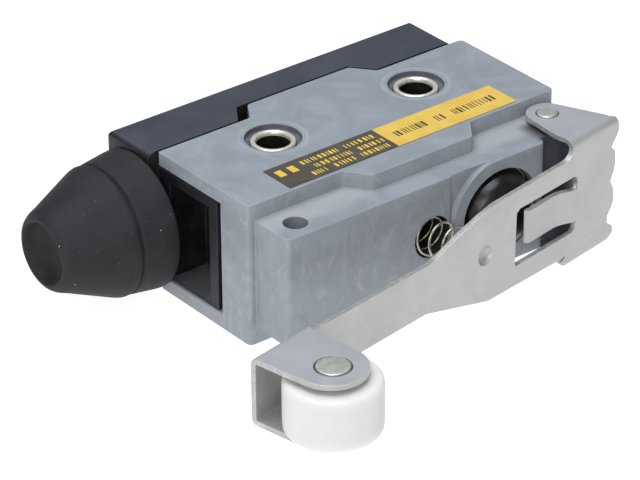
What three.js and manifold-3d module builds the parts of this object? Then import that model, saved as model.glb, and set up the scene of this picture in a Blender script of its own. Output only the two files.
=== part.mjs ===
// Enclosed limit switch with a hinged roller lever: grey moulded case, black terminal
// cover, rubber cable boot, sprung lever, sealed plunger and the snap switch inside.
// Millimetres. Origin midway between the two mounting holes on the bottom mounting face.
// +X runs along the case towards the lever hinge, -Y towards the lever, +Z up the holes.
import * as THREE from 'three';
import { mergeVertices } from 'three/addons/utils/BufferGeometryUtils.js';
import Module from 'manifold-3d';

const wasm = await Module();
wasm.setup();

// ---- driving dimensions ------------------------------------------------------------
const HOLE_PITCH = 25.4;
const HEIGHT = 21.6;
const MID_Z = HEIGHT / 2;
const GAP = 0.3;

const CASE = { left: -27.4, right: 26.7, near: -13.45, far: 6.65, lip: 2.1, wall: 2.1 };
const BLOCK = { left: -26.2, right: 18.6, front: -20.5, step: 2.47, bossFront: -21.1 };
const LEFT_WALL_FAR = -7.3;
const TAB_FAR = 10.0;
const TAB_NEAR = -17.0;
const LEDGE_HOLE = { x: -22.3, y: -17.15, r: 1.7, depth: 3.0 };

const COVER = { left: -29.0, right: 25.2, near: 6.95, far: 16.4, wall: 2.0, edge: 1.5, corner: 0.6 };
const POCKET = { near: -4.25, far: 4.6, low: 2.6, high: 17.5, depth: 6.0 };
const END_PIECE = { left: -27.1, right: -20.3, near: -6.15, low: 2.25, high: 18.95 };

const BOOT = { y: 9.3, base: -29.2, collar: -35.1, rim: -35.5, tip: -45.3 };
const BOOT_R = { base: 10.15, collar: 9.2, rim: 9.5, tip: 5.4, recess: 4.6, bore: 4.65 };

const SLEEVE = { outer: 3.24, inner: 2.4, low: 0.3, high: 21.25 };
const SLEEVE_POCKET = { r: 4.0, depth: 0.8 };

const SPRING_HOLE = { x: -1.2, z: 10.8, r: 3.1, depth: 6.6 };
const SPRING = { r: 2.62, wire: 0.22, turns: 7.5, start: -14.3, end: -27.3, lean: 2.0 };
const SEAL = { x: 10.5, z: 10.8, hole: 6.6, boss: 8.6, apex: -23.8 };

const HINGE = { x: 22.7, y: -16.6, pin: 1.5, hole: 1.57, earHole: 1.66, lug: 4.1 };
const LEVER_ANGLE = THREE.MathUtils.degToRad(10.6);
const SHEET = 0.8;
const PLATE_FRONT = -8.0;
const PLATE_BACK = PLATE_FRONT + SHEET;
const HINGE_CHANNEL = { low: 0.5, high: 20.4 };
const FORK = { low: 6.0, high: 16.0, s: -64.85, n: -16.3, top: 4.95, bottom: 4.9, bend: 1.0 };
const ROLLER = { r: 6.57, low: 6.9, high: 14.5, bore: 1.9 };
const AXLE = { r: 1.82, hole: 2.55, head: 2.3 };

const SWITCH = { left: -19.6, right: 23.8, near: -12.9, far: 5.0, wall: 2.0, low: 2.4, high: 19.2 };
const LID = 1.6;
const COVER_SCREW_X = [-7.3, 5.2];
const RIB = { near: 8.0, far: 9.7, half: 2.0 };
const TERMINALS = {
  nc: { x: -14.0, stem: -6.5 },
  no: { x: -1.0, stem: 2.4 },
  com: { x: 17.5, stem: 20.4 },
};
const BLADE = { near: -8.7, far: -8.35, root: 20.9, tip: -16.6, contact: -14.4 };

// ---- mesh helpers ------------------------------------------------------------------
function toSolid(geometry) {
  const bare = geometry.clone();
  bare.deleteAttribute('normal');
  bare.deleteAttribute('uv');
  const welded = mergeVertices(bare, 1e-5);
  const mesh = new wasm.Mesh({
    numProp: 3,
    vertProperties: new Float32Array(welded.attributes.position.array),
    triVerts: new Uint32Array(welded.index.array),
  });
  return new wasm.Manifold(mesh);
}

function toGeometry(solid) {
  const mesh = solid.getMesh();
  const geometry = new THREE.BufferGeometry();
  const positions = new Float32Array(mesh.numVert * 3);
  for (let i = 0; i < mesh.numVert; i += 1) {
    for (let k = 0; k < 3; k += 1) {
      positions[3 * i + k] = mesh.vertProperties[i * mesh.numProp + k];
    }
  }
  geometry.setAttribute('position', new THREE.BufferAttribute(positions, 3));
  geometry.setIndex(new THREE.BufferAttribute(new Uint32Array(mesh.triVerts), 1));
  return geometry;
}

function join(...solids) {
  return solids.reduce((sum, solid) => sum.add(solid));
}

function cut(solid, ...tools) {
  return tools.reduce((rest, tool) => rest.subtract(tool), solid);
}

function box(x0, x1, y0, y1, z0, z1) {
  const geometry = new THREE.BoxGeometry(x1 - x0, y1 - y0, z1 - z0);
  geometry.translate((x0 + x1) / 2, (y0 + y1) / 2, (z0 + z1) / 2);
  return toSolid(geometry);
}

// Polygon of [x, y] points pulled up from z0 to z1.
function prismZ(points, z0, z1) {
  const shape = new THREE.Shape(points.map(([x, y]) => new THREE.Vector2(x, y)));
  const geometry = new THREE.ExtrudeGeometry(shape, { depth: z1 - z0, bevelEnabled: false });
  geometry.translate(0, 0, z0);
  return toSolid(geometry);
}

// Polygon of [x, z] points pulled from y0 to y1.
function prismY(points, y0, y1) {
  const shape = new THREE.Shape(points.map(([x, z]) => new THREE.Vector2(x, z)));
  const geometry = new THREE.ExtrudeGeometry(shape, { depth: y1 - y0, bevelEnabled: false });
  geometry.rotateX(Math.PI / 2);
  geometry.translate(0, y1, 0);
  return toSolid(geometry);
}

// Polygon of [y, z] points pulled from x0 to x1.
function prismX(points, x0, x1) {
  const shape = new THREE.Shape(points.map(([y, z]) => new THREE.Vector2(y, z)));
  const geometry = new THREE.ExtrudeGeometry(shape, { depth: x1 - x0, bevelEnabled: false });
  geometry.applyMatrix4(new THREE.Matrix4().set(0, 0, 1, x0, 1, 0, 0, 0, 0, 1, 0, 0, 0, 0, 0, 1));
  return toSolid(geometry);
}

// Profile of [radius, height] points, in either direction, turned about Z.
function turned(profile, segments) {
  const points = profile.map(([r, h]) => new THREE.Vector2(r, h));
  if (THREE.ShapeUtils.area(points) < 0) {
    points.reverse();
  }
  const geometry = new THREE.LatheGeometry(points, segments);
  geometry.rotateX(Math.PI / 2);
  return geometry;
}

function turnedZ(profile, x, y, segments = 32) {
  const geometry = turned(profile, segments);
  geometry.translate(x, y, 0);
  return toSolid(geometry);
}

function turnedY(profile, x, z, segments = 32) {
  const geometry = turned(profile, segments);
  geometry.rotateX(-Math.PI / 2);
  geometry.translate(x, 0, z);
  return toSolid(geometry);
}

function turnedX(profile, y, z, segments = 32) {
  const geometry = turned(profile, segments);
  geometry.rotateY(Math.PI / 2);
  geometry.translate(0, y, z);
  return toSolid(geometry);
}

function rod(r, a, b) {
  return [[0, a], [r, a], [r, b], [0, b]];
}

function ring(inner, outer, a, b) {
  return [[inner, a], [outer, a], [outer, b], [inner, b], [inner, a]];
}

// Arc points round (cx, cy) from angle a to angle b in degrees.
function arc(cx, cy, r, a, b, steps) {
  const points = [];
  for (let i = 0; i <= steps; i += 1) {
    const t = THREE.MathUtils.degToRad(a + ((b - a) * i) / steps);
    points.push([cx + r * Math.cos(t), cy + r * Math.sin(t)]);
  }
  return points;
}

// Replace each corner of a polygon by a small arc of radius r, or of the point's own radius.
function rounded(points, r, steps = 3) {
  const result = [];
  const count = points.length;
  for (let i = 0; i < count; i += 1) {
    const [x, y, radius = r] = points[i];
    const here = new THREE.Vector2(x, y);
    const before = new THREE.Vector2(...points[(i + count - 1) % count]).sub(here);
    const after = new THREE.Vector2(...points[(i + 1) % count]).sub(here);
    const half = Math.acos(before.dot(after) / (before.length() * after.length())) / 2;
    const reach = Math.min(radius / Math.tan(half), before.length() * 0.45, after.length() * 0.45);
    const start = here.clone().add(before.setLength(reach));
    const end = here.clone().add(after.setLength(reach));
    for (let k = 0; k <= steps; k += 1) {
      const t = k / steps;
      const blend = (a, b, c) => (1 - t) * (1 - t) * a + 2 * t * (1 - t) * b + t * t * c;
      result.push([blend(start.x, here.x, end.x), blend(start.y, here.y, end.y)]);
    }
  }
  return result;
}

function offsetBox(b, d) {
  return [[b[0] + d, b[2] + d], [b[1] - d, b[2] + d], [b[1] - d, b[3] - d], [b[0] + d, b[3] - d]];
}

// ---- materials and nodes -----------------------------------------------------------
const part = new THREE.Group();
part.name = 'roller_lever_limit_switch';

function finish(color, roughness, metalness = 0) {
  return () => new THREE.MeshStandardMaterial({ color, roughness, metalness });
}

const greyPlastic = finish('#8e959c', 0.55);
const blackPlastic = finish('#2f3136', 0.5);
const blackRubber = finish('#343337', 0.75);
const brushedSteel = finish('#b9b9b7', 0.38, 0.95);
const brightNickel = finish('#d8d6cc', 0.22, 1.0);
const whiteNylon = finish('#f0eff0', 0.45);
const switchPlastic = finish('#3b2a22', 0.5);
const lidPlastic = finish('#4a3428', 0.5);
const brass = finish('#c9a24b', 0.35, 1.0);
const copper = finish('#c77b45', 0.4, 1.0);
const silver = finish('#dfe0e2', 0.25, 1.0);
const zincScrew = finish('#c4c6c8', 0.3, 1.0);
const labelDark = finish('#55534a', 0.5);
const labelYellow = finish('#f2c14e', 0.5);
const fibreBoard = finish('#a8865a', 0.8);
const redButton = finish('#a8322c', 0.4);

function addNode(name, solid, material) {
  const geometry = solid.isBufferGeometry ? solid : toGeometry(solid);
  const mesh = new THREE.Mesh(geometry, material());
  mesh.name = name;
  part.add(mesh);
}

// ---- grey case ---------------------------------------------------------------------
const FAR_TAB = [[-11.6, CASE.far], [-9.5, TAB_FAR], [8.5, TAB_FAR], [11.2, CASE.far]];
const NEAR_TAB = [[11.3, CASE.near], [8.7, TAB_NEAR], [-8.9, TAB_NEAR], [-11.4, CASE.near]];

function caseOuter() {
  const slab = rounded([
    [CASE.left, CASE.far, 0.3], [CASE.left, CASE.near], ...[...NEAR_TAB].reverse(),
    [CASE.right, CASE.near], [CASE.right, CASE.far], ...[...FAR_TAB].reverse(),
  ], 0.8);
  const tabCut = box(-14, 14, CASE.far, TAB_FAR + 1, CASE.lip, HEIGHT - CASE.lip);
  const corner = arc(BLOCK.right - 1.0, BLOCK.bossFront + 1.0, 1.0, -90, 0, 4);
  const lug = arc(HINGE.x, HINGE.y, HINGE.lug, -125, 0, 10);
  const block = [
    [BLOCK.left, CASE.near + 1], ...arc(BLOCK.left + 0.8, BLOCK.front + 0.8, 0.8, 180, 270, 3),
    [2, BLOCK.front], [2, BLOCK.front + 0.2], [17, BLOCK.front + 0.2],
    [BLOCK.right - 0.6, BLOCK.front + 0.6], [BLOCK.right, HINGE.y - 2.9], ...lug,
    [CASE.right, CASE.near + 1],
  ];
  const z0 = BLOCK.step;
  const z1 = HEIGHT - BLOCK.step;
  const bossBand = prismZ([
    [0, BLOCK.front + 0.5], [0, BLOCK.bossFront], ...corner, [BLOCK.right, BLOCK.front + 1.2],
  ], z0, z1);
  const bossDisc = turnedY(rod(SEAL.boss, BLOCK.bossFront, BLOCK.front + 1.0), SEAL.x, SEAL.z, 36);
  const bossRight = box(SEAL.x, BLOCK.right, BLOCK.bossFront - 1, BLOCK.front + 1, z0, z1);
  const boss = bossBand.intersect(bossDisc.add(bossRight));
  return join(cut(prismZ(slab, 0, HEIGHT), tabCut), prismZ(block, z0, z1), boss);
}

function caseShell() {
  const lipLow = CASE.lip;
  const lipHigh = HEIGHT - CASE.lip;
  const inside = box(SWITCH.left - GAP, SWITCH.right + GAP, SWITCH.near - GAP, 12, lipLow, lipHigh);
  const endOpening = box(CASE.left - 1, SWITCH.left, LEFT_WALL_FAR, 12, lipLow, lipHigh);
  const sleeves = [-1, 1].flatMap((side) => {
    const x = (side * HOLE_PITCH) / 2;
    return [
      turnedZ(rod(SLEEVE.outer + 0.05, -1, HEIGHT + 1), x, 0, 28),
      turnedZ(rod(SLEEVE_POCKET.r, HEIGHT - SLEEVE_POCKET.depth, HEIGHT + 1), x, 0, 28),
      turnedZ(rod(SLEEVE_POCKET.r, -1, SLEEVE_POCKET.depth), x, 0, 28),
    ];
  });
  const dome = turnedY([
    [0, -12], [2.2, -12], [2.2, -16.6], [7.4, -16.6], [7.4, -19.4], [SEAL.hole, -19.4],
    [SEAL.hole, -22], [0, -22],
  ], SEAL.x, SEAL.z, 32);
  const springHole = turnedY(
    rod(SPRING_HOLE.r, BLOCK.front - 1, BLOCK.front + SPRING_HOLE.depth),
    SPRING_HOLE.x, SPRING_HOLE.z, 24,
  );
  const ledgeTop = HEIGHT - BLOCK.step;
  const blindHole = turnedZ(
    rod(LEDGE_HOLE.r, ledgeTop - LEDGE_HOLE.depth, HEIGHT), LEDGE_HOLE.x, LEDGE_HOLE.y, 24,
  );
  const pinHole = turnedZ(rod(HINGE.hole, 0, HEIGHT), HINGE.x, HINGE.y, 24);
  const shell = cut(
    caseOuter(), inside, endOpening, ...sleeves, dome, springHole, blindHole, pinHole,
  );
  const ribs = COVER_SCREW_X.map((x) => cut(
    box(x - RIB.half, x + RIB.half, RIB.near, RIB.far, lipLow - 0.5, lipHigh + 0.5),
    turnedY(rod(1.4, RIB.near - 1, RIB.far + 1), x, MID_Z, 20),
  ));
  return join(shell, ...ribs);
}

// ---- black terminal cover with its end leg -----------------------------------------
function terminalCover() {
  const far = COVER.far;
  const reach = COVER.near - 4;
  const plan = [
    [COVER.left, reach], [COVER.right, reach], [COVER.right, far], [COVER.left, far],
  ];
  const side = [[reach, 0], [far, 0], [far, HEIGHT], [reach, HEIGHT]];
  const face = [[COVER.left, 0], [COVER.right, 0], [COVER.right, HEIGHT], [COVER.left, HEIGHT]];
  const body = prismZ(rounded(plan, COVER.corner, 5), 0, HEIGHT)
    .intersect(prismX(rounded(side, COVER.edge, 4), COVER.left - 1, COVER.right + 1))
    .intersect(prismY(rounded(face, COVER.edge, 4), COVER.near, far + 1));
  const room = box(
    COVER.left + 2.5, COVER.right - COVER.wall, COVER.near - 1, far - COVER.wall,
    COVER.wall, HEIGHT - COVER.wall,
  );
  const notch = prismZ([
    [-13.6, CASE.far], [-11.1, TAB_FAR + GAP], [8.6, TAB_FAR + GAP], [11.7, CASE.far],
  ], -1, HEIGHT + 1);
  const leg = box(
    END_PIECE.left, END_PIECE.right, END_PIECE.near, COVER.near + 0.5, END_PIECE.low, END_PIECE.high,
  );
  const legRoom = box(-25.5, END_PIECE.right + 1, 5.9, COVER.near + 2, 4.0, HEIGHT - 4.0);
  const pocket = box(
    END_PIECE.left - 1, END_PIECE.left + POCKET.depth, POCKET.near, POCKET.far, POCKET.low, POCKET.high,
  );
  const stub = turnedX(rod(4.35, -32.5, COVER.left + 1), BOOT.y, MID_Z, 36);
  const entry = turnedX(rod(3.6, -34, COVER.left + 4), BOOT.y, MID_Z, 32);
  const screwHoles = COVER_SCREW_X.flatMap((x) => [
    turnedY(rod(1.6, 10, far + 1), x, MID_Z, 20),
    turnedY(rod(3.1, far - 1.0, far + 1), x, MID_Z, 28),
  ]);
  return cut(join(cut(body, room, notch), leg, stub), pocket, legRoom, entry, ...screwHoles);
}

function coverScrew(x) {
  const head = turnedY([
    [0, RIB.near + 0.2], [1.3, RIB.near + 0.2], [1.3, 15.5], [2.7, 15.6], [2.7, 16.2],
    [2.3, 16.4], [0, 16.4],
  ], x, MID_Z, 24);
  const slot = box(x - 3, x + 3, 15.9, 17, MID_Z - 0.3, MID_Z + 0.3);
  const cross = box(x - 0.3, x + 0.3, 15.9, 17, MID_Z - 1.6, MID_Z + 1.6);
  const slotShort = slot.intersect(box(x - 1.6, x + 1.6, 15, 18, 0, HEIGHT));
  return cut(head, slotShort, cross);
}

function coverGasket() {
  const outer = [-19.2, 22.8, CASE.lip + GAP, HEIGHT - CASE.lip - GAP];
  const band = prismY(rounded(offsetBox(outer, 0), 1.0), 5.35, 7.6);
  const hollow = prismY(rounded(offsetBox(outer, 1.1), 0.8), 5, 8);
  return cut(band, hollow);
}

// ---- rubber cable boot -------------------------------------------------------------
function cableBoot() {
  const { base, collar, rim, tip } = BOOT;
  const R = BOOT_R;
  const profile = [
    [R.bore, base], [R.base, base], [R.base - 0.1, base - 0.6], [R.collar + 0.1, collar + 0.3],
    [R.rim - 0.1, collar - 0.1], [R.rim, rim], [R.rim - 0.25, rim - 0.7],
    [R.tip + 0.85, tip + 1.6], [R.tip + 0.5, tip + 0.7], [R.tip - 0.1, tip + 0.1],
    [R.tip - 0.5, tip], [R.recess, tip + 0.2], [R.recess - 0.5, tip + 1.3],
    [R.recess - 1.6, tip + 1.9], [1.2, tip + 2.2], [0, tip + 2.25],
    [0, tip + 3.6], [3.2, tip + 3.6], [5.0, rim - 1.6], [6.6, rim - 0.4], [6.6, collar + 1.2],
    [R.bore, collar + 2.2], [R.bore, base],
  ];
  return turnedX(profile, BOOT.y, MID_Z, 32);
}

// ---- labels ------------------------------------------------------------------------
function label(points) {
  return prismZ(points, HEIGHT + 0.03, HEIGHT + 0.13);
}

const LABEL_EDGE = { near: -12.95, far: -7.0, left: -19.85, split: -1.0, right: 20.15 };

// ---- return spring -----------------------------------------------------------------
// Helix that is straight in its hole, then leans towards the dimple in the lever.
class Helix extends THREE.Curve {
  getPoint(t) {
    const even = THREE.MathUtils.clamp((t - 0.1) / 0.8, 0, 1);
    const along = 0.03 * Math.min(1, t / 0.1) + 0.94 * even + 0.03 * Math.max(0, (t - 0.9) / 0.1);
    const y = THREE.MathUtils.lerp(SPRING.start, SPRING.end, along);
    const out = Math.max(0, (BLOCK.front - y) / (BLOCK.front - SPRING.end));
    const turn = t * SPRING.turns * 2 * Math.PI;
    return new THREE.Vector3(
      SPRING_HOLE.x + SPRING.lean * out ** 1.2 + SPRING.r * Math.cos(turn),
      y,
      SPRING_HOLE.z + SPRING.r * Math.sin(turn),
    );
  }
}

function returnSpring() {
  const section = new THREE.Shape(arc(0, 0, SPRING.wire, 0, 288, 4).map(([x, y]) => new THREE.Vector2(x, y)));
  return new THREE.ExtrudeGeometry(section, {
    steps: Math.round(SPRING.turns * 12), extrudePath: new Helix(), bevelEnabled: false,
  });
}

// ---- sealed plunger ----------------------------------------------------------------
function plungerSeal() {
  const apex = SEAL.apex;
  const profile = [
    [0, apex], [2.0, apex + 0.05], [3.6, apex + 0.45], [4.9, apex + 1.3], [5.8, apex + 2.5],
    [6.15, apex + 3.8], [6.15, -19.1], [7.1, -19.1], [7.1, -17.9], [5.4, -17.9], [5.4, apex + 3.8],
    [5.0, apex + 2.8], [4.2, apex + 1.9], [3.0, apex + 1.35], [0, apex + 1.1],
  ];
  return turnedY(profile, SEAL.x, SEAL.z, 28);
}

function sealRing() {
  return turnedY(ring(5.6, 7.2, -17.7, -16.9), SEAL.x, SEAL.z, 28);
}

function plunger() {
  const top = SEAL.apex + 1.4;
  const profile = [
    [0, top], [2.3, top], [2.8, top + 0.4], [2.8, -19.0], [2.0, -18.6], [2.0, -15.4],
    [1.4, -15.2], [1.4, -14.1], [0, -14.1],
  ];
  return turnedY(profile, SEAL.x, SEAL.z, 24);
}

// ---- lever, in its own frame: s along the plate, n towards the case ------------------
function toWorld(solid) {
  const degrees = THREE.MathUtils.radToDeg(LEVER_ANGLE);
  return solid.rotate([0, 0, degrees]).translate([HINGE.x, HINGE.y, 0]);
}

// Channel section in (n, z): a web with an ear at each end, bent with round corners.
function channel(s0, s1, nWeb, nEars, low, high, bend) {
  const towards = Math.sign(nEars - nWeb);
  const inner = bend - SHEET;
  const place = (points) => points.map(([n, z]) => [nWeb + towards * n, z]);
  const reach = Math.abs(nEars - nWeb);
  const outside = [
    [reach, low], ...arc(bend, low + bend, bend, 270, 180, 4),
    ...arc(bend, high - bend, bend, 180, 90, 4), [reach, high],
  ];
  const insidePoints = [
    [reach + 1, low + SHEET], ...arc(bend, low + bend, inner, 270, 180, 3),
    ...arc(bend, high - bend, inner, 180, 90, 3), [reach + 1, high - SHEET],
  ];
  return cut(prismX(place(outside), s0, s1), prismX(place(insidePoints), s0 - 1, s1 + 1));
}

function leverPlateOutline() {
  return [
    [-60.0, 15.1], [-60.0, 7.6], [-35.9, 7.15], [-22.7, 3.25], [-7.6, 2.75], [-3.0, 2.75],
    [-3.0, 17.75], [-21.6, 17.75], [-24.2, 17.3], [-29.0, 16.2], [-33.6, 14.75], [-35.2, 14.45],
  ];
}

// Side view of the hinge end: scalloped free edge, ear roots and the web between them.
function hingeSideOutline() {
  return [
    [-9, 2.75], [-7.3, 2.75], [-6.4, 2.1], [-5.7, 1.6], [-4.9, 1.0], [-4.8, 0], [4.6, 0],
    [4.7, 1.5], [5.3, 2.1], [5.25, 3.1], [4.0, 4.0], [4.0, 5.1], [4.9, 6.2], [5.35, 7.2],
    [5.2, 9.2], [4.5, 10.5], [5.2, 11.8], [5.5, 13.0], [5.4, 15.0], [4.5, 16.0], [5.7, 17.3],
    [6.15, 18.2], [6.1, 19.4], [5.4, 22], [-4.3, 22], [-4.2, 19.2], [-4.45, 18.4],
    [-5.2, 17.85], [-6.0, 17.75], [-9, 17.75],
  ];
}

function leverWindow() {
  const outline = [
    [-16.75, 6.1], [-16.9, 6.6], [-16.65, 14.3], [-16.0, 14.8], [-3.9, 14.7], [-3.2, 14.3],
    [-3.1, 13.6], [-3.3, 12.5], [-3.3, 7.45], [-3.4, 6.9], [-3.5, 6.3], [-4.2, 5.95],
  ];
  return prismY(outline, PLATE_FRONT - 1, PLATE_BACK + 1);
}

// Tongue left standing in the window, joggled towards the plunger and rounded at its nose.
function leverTongue() {
  const front = [
    [-3.2, 0], [-3.9, 0.1], [-5.2, 0.72], [-6.2, 1.06], [-7.0, 1.15], [-12.0, 1.1],
    [-12.6, 1.3], [-12.9, 1.75],
  ];
  const back = [
    [-12.35, 2.05], [-11.8, 1.9], [-6.9, 1.95], [-5.9, 1.84], [-4.9, 1.5], [-3.7, 0.87],
    [-3.2, SHEET],
  ];
  const side = [...front, ...back].map(([s, n]) => [s, PLATE_FRONT + n]);
  return prismZ(side, 7.45, 12.5);
}

// Dent pressed into the plate's front, or with raise the bump it leaves behind.
function leverDimple(r, depth, raise) {
  const profile = [
    [0, PLATE_FRONT + depth + raise], [r * 0.42, PLATE_FRONT + depth * 0.95 + raise],
    [r * 0.74, PLATE_FRONT + depth * 0.68 + raise], [r * 0.92, PLATE_FRONT + depth * 0.3 + raise],
    [r, PLATE_FRONT + raise], [r, PLATE_FRONT - 1 + raise], [0, PLATE_FRONT - 1 + raise],
  ];
  return turnedY(profile, -23.4, 10.7, 20);
}

function forkOutline(r) {
  return [
    [-70.0, PLATE_BACK + 1], [-69.9, -14.0], ...arc(FORK.s, FORK.n, r, 180, 360, 14),
    [-59.6, -8.6], [-59.2, PLATE_BACK + 1],
  ];
}

function rollerLever() {
  const plate = prismY(leverPlateOutline(), PLATE_FRONT, PLATE_BACK);
  const hinge = channel(-9, 7, PLATE_FRONT, 4, HINGE_CHANNEL.low, HINGE_CHANNEL.high, 1.5);
  const hingeTop = [
    [-9, PLATE_FRONT - 1], [7, PLATE_FRONT - 1], [6.4, -7.9], [5.8, -7.35], [5.05, -6.9],
    ...arc(0.05, 0, 3.05, 10, 178, 10), [-4.75, -6.7], [-5.2, -7.15], [-9, -7.15],
  ];
  const hingePart = hinge
    .intersect(prismZ(hingeTop, 0, HEIGHT + 1))
    .intersect(prismY(hingeSideOutline(), -12, 6));
  const fork = channel(-70.0, -59.0, PLATE_BACK, -22.0, FORK.low, FORK.high, FORK.bend);
  const cheeks = join(
    prismZ(forkOutline(FORK.top), MID_Z, HEIGHT), prismZ(forkOutline(FORK.bottom), 0, MID_Z),
  );
  const forkPart = fork.intersect(cheeks);
  const body = join(plate, hingePart, forkPart);
  const bendRelief = prismY([
    [-7.1, 1.95], [-5.9, 2.3], [-5.62, 2.42], [-5.5, 2.6], [-5.62, 2.78], [-5.85, 2.8], [-7.1, 2.42],
  ], PLATE_FRONT - 1, PLATE_BACK + 1);
  const opened = cut(
    body, leverWindow(), leverDimple(1.5, 0.85, 0), bendRelief,
    turnedZ(rod(HINGE.earHole, 0, HEIGHT + 1), 0, 0, 24),
    turnedZ(rod(AXLE.hole, 0, HEIGHT), FORK.s, FORK.n - 0.3, 24),
  );
  const bump = cut(leverDimple(1.9, 0.85, SHEET - 0.02), leverDimple(1.5, 0.85, 0));
  const bumpBack = bump.intersect(box(-26, -20, PLATE_BACK - 0.2, 0, 0, HEIGHT));
  return toWorld(join(opened, bumpBack, leverTongue()));
}

function hingePin() {
  const low = HINGE_CHANNEL.low - 0.15;
  const high = HINGE_CHANNEL.high + 0.15;
  const profile = [
    [0, low], [HINGE.pin - 0.12, low], [HINGE.pin, low + 0.12], [HINGE.pin, high - 0.12],
    [HINGE.pin - 0.12, high], [0, high],
  ];
  return turnedZ(profile, HINGE.x, HINGE.y, 24);
}

function rollerAxle() {
  const { r, head } = AXLE;
  const low = FORK.low - 0.12;
  const high = FORK.high + 0.12;
  const profile = [
    [0, low], [head - 0.12, low], [head, low + 0.12], [head, ROLLER.low - 0.1],
    [r, ROLLER.low - 0.1], [r, ROLLER.high + 0.1], [head, ROLLER.high + 0.1],
    [head, high - 0.12], [head - 0.12, high], [0, high],
  ];
  return toWorld(turnedZ(profile, FORK.s, FORK.n - 0.3, 24));
}

function roller() {
  const { r, low, high, bore } = ROLLER;
  const profile = [
    [bore, low], [r - 0.6, low], [r - 0.15, low + 0.25], [r, low + 0.8], [r, high - 0.8],
    [r - 0.15, high - 0.25], [r - 0.6, high], [bore, high], [bore, low],
  ];
  return toWorld(turnedZ(profile, FORK.s, FORK.n - 0.3, 36));
}

// ---- mounting sleeves --------------------------------------------------------------
function mountingSleeve(side) {
  const { inner, outer, low, high } = SLEEVE;
  const profile = [
    [inner + 0.3, low], [outer - 0.15, low], [outer, low + 0.15], [outer, high - 0.15],
    [outer - 0.15, high], [inner + 0.3, high], [inner, high - 0.35], [inner, low + 0.35],
    [inner + 0.3, low],
  ];
  return turnedZ(profile, (side * HOLE_PITCH) / 2, 0, 28);
}

// ---- snap switch inside the case ---------------------------------------------------
const ROOM_X = [SWITCH.left + SWITCH.wall, SWITCH.right - SWITCH.wall];
const ROOM_Y = [SWITCH.near + SWITCH.wall, SWITCH.far - SWITCH.wall];

function sleeveHoles(r) {
  return [-1, 1].map((side) => turnedZ(rod(r, -1, HEIGHT + 1), (side * HOLE_PITCH) / 2, 0, 24));
}

function switchBase() {
  const body = box(SWITCH.left, SWITCH.right, SWITCH.near, SWITCH.far, SWITCH.low, SWITCH.high - LID);
  const room = box(
    ROOM_X[0], ROOM_X[1], ROOM_Y[0], ROOM_Y[1], SWITCH.low + 2.0, SWITCH.high,
  );
  const posts = [-1, 1].map((side) => turnedZ(
    rod(4.6, SWITCH.low + 1, SWITCH.high - LID), (side * HOLE_PITCH) / 2, 0, 24,
  ));
  const buttonHole = turnedY(rod(1.75, SWITCH.near - 1, SWITCH.near + 3), SEAL.x, SEAL.z, 24);
  const terminalHoles = Object.values(TERMINALS).flatMap(({ x, stem }) => [
    box(stem - 1.4, stem + 1.4, 2, 6, MID_Z - 0.75, MID_Z + 0.75),
    turnedY(rod(1.7, 3.5, 6), x, MID_Z, 20),
  ]);
  return cut(join(cut(body, room), ...posts), ...sleeveHoles(3.55), buttonHole, ...terminalHoles);
}

function switchLid() {
  const under = SWITCH.high - LID + 0.05;
  const plate = box(SWITCH.left, SWITCH.right, SWITCH.near, SWITCH.far, under, SWITCH.high);
  return cut(plate, ...sleeveHoles(3.55));
}

function switchButton() {
  const profile = [
    [0, -13.2], [1.3, -13.2], [1.65, -12.9], [1.65, -10.8], [2.4, -10.8], [2.4, -10.3], [0.9, -10.3],
    [0.6, -9.9], [0, -9.9],
  ];
  return turnedY(profile, SEAL.x, SEAL.z, 20);
}

function snapBlade() {
  const outer = box(BLADE.tip, BLADE.root, BLADE.near, BLADE.far, MID_Z - 2.6, MID_Z + 2.6);
  const opening = box(-9.0, 7.5, BLADE.near - 1, BLADE.far + 1, MID_Z - 1.5, MID_Z + 1.5);
  const tongue = box(-9.5, 5.0, BLADE.near, BLADE.far, MID_Z - 0.8, MID_Z + 0.8);
  const rivetHole = turnedY(rod(0.97, -10, -7), BLADE.contact, MID_Z, 20);
  return cut(cut(outer, opening).add(tongue), rivetHole);
}

function movingContact() {
  const profile = [
    [0, BLADE.near - 0.55], [1.4, BLADE.near - 0.55], [1.4, BLADE.near - 0.05],
    [0.9, BLADE.near - 0.05], [0.9, BLADE.far + 0.05], [1.4, BLADE.far + 0.05],
    [1.4, BLADE.far + 0.55], [0, BLADE.far + 0.55],
  ];
  return turnedY(profile, BLADE.contact, MID_Z, 20);
}

function fixedContact(y0, y1) {
  return turnedY(rod(1.5, y0, y1), BLADE.contact, MID_Z, 20);
}

// Terminal: screw plate outside the switch, stem through its slot, arm and foot inside.
function terminal({ x, stem }, ...inner) {
  const plate = box(x - 3.2, x + 3.2, 5.3, 6.3, MID_Z - 3.2, MID_Z + 3.2);
  const link = box(Math.min(x, stem - 1.1), Math.max(x, stem + 1.1), 5.3, 6.3, MID_Z - 1.2, MID_Z + 1.2);
  const post = box(stem - 1.1, stem + 1.1, 2.0, 5.6, MID_Z - 0.45, MID_Z + 0.45);
  return cut(join(plate, link, post, ...inner), turnedY(rod(1.65, 5, 7), x, MID_Z, 20));
}

function terminalCommon() {
  const { stem } = TERMINALS.com;
  const arm = box(stem - 1.1, stem + 1.1, -8.3, 2.2, MID_Z - 0.45, MID_Z + 0.45);
  const foot = box(stem - 1.1, stem + 1.2, -8.3, -7.3, MID_Z - 2.4, MID_Z + 2.4);
  return terminal(TERMINALS.com, arm, foot);
}

function terminalOpen() {
  const { stem } = TERMINALS.no;
  const arm = box(stem - 1.1, stem + 1.1, -6.5, 2.2, MID_Z - 0.45, MID_Z + 0.45);
  const foot = box(-16.2, stem + 1.1, -6.5, -5.9, MID_Z - 1.5, MID_Z + 1.5);
  return terminal(TERMINALS.no, arm, foot);
}

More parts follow.
